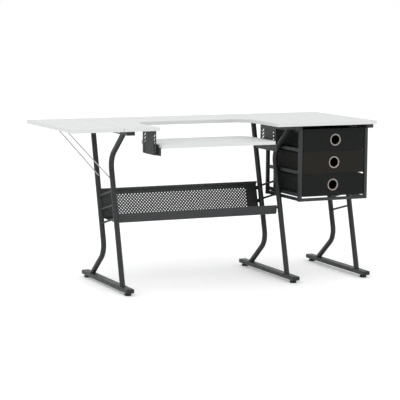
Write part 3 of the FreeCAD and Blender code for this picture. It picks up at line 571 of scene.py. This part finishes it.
# %% Sew the hems
stitch_pitch = 0.0046
stitch_length = 0.0033
stitch_radius = 0.00038
seam_below_top = 0.0115


def stitch(bm, start, end, radius):
    made = bmesh.ops.create_cone(bm, cap_ends=True, cap_tris=False, segments=6, radius1=radius,
                                 radius2=radius, depth=(end - start).length)
    verts = made["verts"]
    caps = {f for v in verts for f in v.link_faces if len(f.verts) == 6}
    grown = bmesh.ops.inset_region(bm, faces=list(caps), thickness=radius * 0.4,
                                   depth=radius * 0.5)
    tips = {v for f in list(caps) + grown["faces"] for v in f.verts}
    turn = (end - start).to_track_quat("Z", "Y").to_matrix().to_4x4()
    bmesh.ops.transform(bm, matrix=Matrix.Translation((start + end) / 2) @ turn,
                        verts=list(tips | set(verts)))


def hem_stitches(name):
    low, high = box_of[name]
    bm = bmesh.new()
    level = low.z + shell_height - seam_below_top
    front = low.y + 0.012
    back = high.y - 0.010
    for side, x in ((-1.0, low.x + shell_inset), (1.0, high.x - shell_inset)):
        for step in range(int((back - front) / stitch_pitch)):
            y = front + step * stitch_pitch
            deep = (y - low.y) / (high.y - low.y)
            bow = wall_bow * math.sin(math.pi * deep) * 0.88 - 0.0009
            first = Vector((x - side * bow, y, level))
            last = Vector((x - side * bow, y + stitch_length, level))
            stitch(bm, first, last, stitch_radius)
    return finished(bm, name + "_stitches", name, cloth_slot[name])


for name in drawer_names:
    hem_stitches(name)

# %% [markdown]
# ## Eyelets
# Each front has a pressed metal eyelet: two dished washers curled into each other through the
# hole. A ring like this is one profile turned about the hole's axis, so it is drawn as a small
# closed outline and spun through a full circle. The last step merges with the first.

# %% Spin the eyelets
eyelet_outline = ((28.5, 0.0), (28.2, -0.9), (27.4, -1.5), (26.0, -1.8), (24.4, -1.75),
                  (22.9, -1.2), (21.8, -0.2), (21.2, 1.2), (21.0, 3.0), (21.2, 4.8), (21.8, 6.2),
                  (22.9, 7.2), (24.4, 7.7), (26.8, 7.7), (28.1, 7.0), (28.5, 6.1), (26.4, 6.05),
                  (23.4, 6.0), (23.4, 0.1), (26.4, 0.05))


def spun(bm, outline, centre, axis, across, steps, closed):
    """Turns an outline of (radius, height) in millimetres about an axis."""
    rim = [bm.verts.new(centre + across * (r / 1000.0) + axis * (h / 1000.0)) for r, h in outline]
    pairs = list(zip(rim, rim[1:])) + ([(rim[-1], rim[0])] if closed else [])
    edges = [bm.edges.new(pair) for pair in pairs]
    bmesh.ops.spin(bm, geom=rim + edges, cent=centre, axis=axis, angle=2 * math.pi, steps=steps,
                   use_merge=True, use_duplicate=False)


sideways = Vector((1, 0, 0))
depthwise = Vector((0, 1, 0))
upwards = Vector((0, 0, 1))


def eyelet(name):
    bm = bmesh.new()
    centre = ring_centre[name].copy()
    centre.y = box_of[name][0].y
    spun(bm, eyelet_outline, centre, depthwise, sideways, 72, True)
    return finished(bm, name + "_eyelet", name, "ring_nickel", (name + "_ring",), 45.0)


for name in drawer_names:
    eyelet(name)

# %% [markdown]
# ## Weld beads
# Tubes, bars and rungs are welded, and powder coat softens the beads but doesn't hide them. A bead
# is a thin ring of overlapping puddles. It starts as a spun circle of small radius, is scaled to
# the oval that a leaning tube leaves on a level bar, and its thickness pulses along its length.

# %% Weld the frames
frame_x = {"left": -0.4844, "middle": 0.3586, "right": 0.7412}
rung_lift = {"left": 0.0, "middle": 0.011, "right": 0.0}
rung_heights = (0.434, 0.372, 0.310)
rung_half_length = 0.0800
rung_radius = 0.0053
rungs_centred_at = 0.37875
lean = 0.258
kick_rise = 0.802
tube_radius = 0.0125
foot_bar_top = 0.0325
top_bar_under = 0.725


def weld_ring(bm, centre, axis, across, radius, oval, thickness, steps):
    """A rippled bead round an axis, stretched sideways by the oval factor."""
    dots = 8
    rim = []
    for k in range(dots):
        angle = 2 * math.pi * k / dots
        rim.append((radius * 1000 + thickness * 1000 * math.cos(angle),
                    thickness * 1000 * math.sin(angle)))
    before = set(bm.verts)
    spun(bm, rim, Vector(), upwards, sideways, steps, True)
    fresh = [v for v in bm.verts if v not in before]
    for vert in fresh:
        turn = math.atan2(vert.co.y, vert.co.x)
        ring = Vector((math.cos(turn), math.sin(turn), 0.0)) * radius
        vert.co = ring + (vert.co - ring) * (1.0 + 0.16 * math.sin(turn * round(radius * 1500)))
        vert.co.y *= oval
    side = axis.cross(across)
    stand = Matrix((across, side, axis)).transposed().to_4x4()
    bmesh.ops.transform(bm, matrix=Matrix.Translation(centre) @ stand, verts=fresh)


def weld_frame(side):
    x = frame_x[side]
    bm = bmesh.new()
    kicked = math.hypot(1.0, 1 / kick_rise)
    leaning = math.hypot(1.0, lean)
    for y, z, oval, flip in ((0.1934, foot_bar_top, kicked, 1), (-0.1854, foot_bar_top, leaning, 1),
                             (0.1854, top_bar_under, leaning, -1),
                             (-0.1934, top_bar_under, kicked, -1)):
        weld_ring(bm, Vector((x, y, z + flip * 0.0006)), upwards, sideways, tube_radius + 0.0004,
                  oval, 0.0017, 56)
    rung = Vector((0.0, -1.0, lean)).normalized()
    for height in rung_heights:
        level = height + rung_lift[side]
        centre = Vector((x, (level - rungs_centred_at) * lean, level))
        for end in (-1, 1):
            weld_ring(bm, centre + rung * end * rung_half_length, rung, sideways, rung_radius,
                      1.0, 0.0013, 24)
    return finished(bm, side + "_weld_beads", "table_frame", "frame_paint", (), 80.0)


for side in frame_x:
    weld_frame(side)

# %% [markdown]
# ## End plugs
# The bars end in moulded plugs: a shallow cushion of plastic with a rounded rim, pushed into the
# tube. Each one starts as a cube, sized to the bar's end. Its outer rim is bevelled round, and the
# face is inset twice to leave the shallow dish that mouldings have.

# %% Mould the plugs
cushion_size = (0.038, 0.003, 0.019)
tongue_size = (0.0325, 0.0099, 0.0164)


def outer_face(bm, x, y, z, out):
    """The largest face of the plug at x, z that looks away from the bar's end."""
    near = []
    for face in bm.faces:
        offset = face.calc_center_median() - Vector((x, y + out * cushion_size[1], z))
        if (face.normal.y * out > 0.9 and abs(offset.x) < 0.01 and abs(offset.z) < 0.005
                and abs(offset.y) < 1e-4):
            near.append(face)
    return max(near, key=lambda f: f.calc_area())


def end_plug(bm, x, y, z, out):
    verts = bmesh.ops.create_cube(bm, size=1.0)["verts"]
    bmesh.ops.scale(bm, verts=verts, vec=cushion_size)
    bmesh.ops.translate(bm, verts=verts, vec=(x, y + out * cushion_size[1] / 2, z))
    faces = {f for v in verts for f in v.link_faces}
    sides = {e for f in faces for e in f.edges
             if abs(e.verts[0].co.y - e.verts[1].co.y) > 0.001}
    bmesh.ops.bevel(bm, geom=list(sides), affect="EDGES", offset=0.0026, segments=4, profile=0.5,
                    material=-1)
    rim = outer_face(bm, x, y, z, out).edges[:]
    bmesh.ops.bevel(bm, geom=rim, affect="EDGES", offset=0.0013, segments=3, profile=0.5,
                    material=-1)
    face = outer_face(bm, x, y, z, out)
    bmesh.ops.inset_region(bm, faces=[face], thickness=0.0022, depth=0.0)
    bmesh.ops.inset_region(bm, faces=[face], thickness=0.0006, depth=-0.0005)
    tongue = bmesh.ops.create_cube(bm, size=1.0)["verts"]
    bmesh.ops.scale(bm, verts=tongue, vec=tongue_size)
    bmesh.ops.translate(bm, verts=tongue, vec=(x, y - out * 0.00505, z))


foot_bar_middle = 0.023
top_bar_middle = 0.7345
bar_ends = ((-0.277, foot_bar_middle, -1), (0.289, foot_bar_middle, 1),
            (-0.283, top_bar_middle, -1), (0.277, top_bar_middle, 1))


def mould_plugs():
    bm = bmesh.new()
    for x in frame_x.values():
        for y, z, out in bar_ends:
            end_plug(bm, x, y, z, out)
    return finished(bm, "bar_end_plugs", "table_frame", "cap_plastic", ("bar_end_caps",))


mould_plugs()

# %% [markdown]
# ## Levelling feet
# Each foot bar stands on two levelling feet: a plastic pad with a fluted rim for the fingers, and
# a threaded stem. The outline of pad, collar and thread is spun about the stem, and then the rim's
# radius is waved to make the flutes. A foot slides with its own body, so it is a separate piece.

# %% Turn the feet
pad_and_collar = [(0.0, 0.0), (14.2, 0.0), (15.6, 0.4), (16.4, 1.4), (16.5, 2.4), (16.5, 7.0),
                  (16.1, 8.4), (14.6, 9.3), (11.0, 9.5), (6.4, 9.6), (6.0, 10.0), (6.0, 12.7),
                  (5.4, 13.1), (3.0, 13.2)]
thread = [(2.98 if k % 2 else 2.55, 13.6 + 0.62 * k) for k in range(25)]
foot_outline = pad_and_collar + thread + [(2.2, 29.2), (0.0, 29.4)]
flutes = 20
flute_depth = 0.0007


def levelling_foot(side, end):
    glide = side + "_" + end + "_glide"
    low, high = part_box(glide)
    centre = Vector(((low.x + high.x) / 2, (low.y + high.y) / 2, low.z))
    bm = bmesh.new()
    spun(bm, foot_outline, centre, upwards, sideways, 96, False)
    for vert in bm.verts:
        out = (vert.co - centre) * Vector((1, 1, 0))
        height = vert.co.z - centre.z
        if out.length > 0.0158 and 0.002 < height < 0.0088:
            flute = 0.5 + 0.5 * math.cos(flutes * math.atan2(out.y, out.x))
            vert.co -= out.normalized() * flute_depth * flute
    name = side + "_" + end + "_levelling_foot"
    return finished(bm, name, glide + "_foot", "glide_plastic", (glide,), 40.0)


for side in frame_x:
    for end in ("front", "rear"):
        levelling_foot(side, end)

# %% [markdown]
# ## The floor
# The table needs something pale to stand on, which also throws light up under the top. A grid
# scaled to a wide sheet is enough.

# %% Lay the floor
def floor_finish():
    finish, tree, shader = new_finish("studio_floor", 0.9, specular=0.1)
    speckle = grain(tree, place_on_object(tree), 3.0, 2.0)
    pale = fade(tree, speckle, (0.93, 0.93, 0.93), (0.95, 0.95, 0.95))
    tree.links.new(pale, shader.inputs["Base Color"])
    shader.inputs["Emission Color"].default_value = (1.0, 1.0, 1.0, 1.0)
    shader.inputs["Emission Strength"].default_value = 0.18
    return finish


def lay_floor():
    bm = bmesh.new()
    bmesh.ops.create_grid(bm, x_segments=1, y_segments=1, size=40.0)
    mesh = bpy.data.meshes.new("studio_floor")
    bm.to_mesh(mesh)
    bm.free()
    mesh.materials.append(floor_finish())
    sheet = bpy.data.objects.new("studio_floor", mesh)
    bpy.context.scene.collection.objects.link(sheet)
    return sheet


floor = lay_floor()
print("floor", [round(v, 1) for v in floor.dimensions])
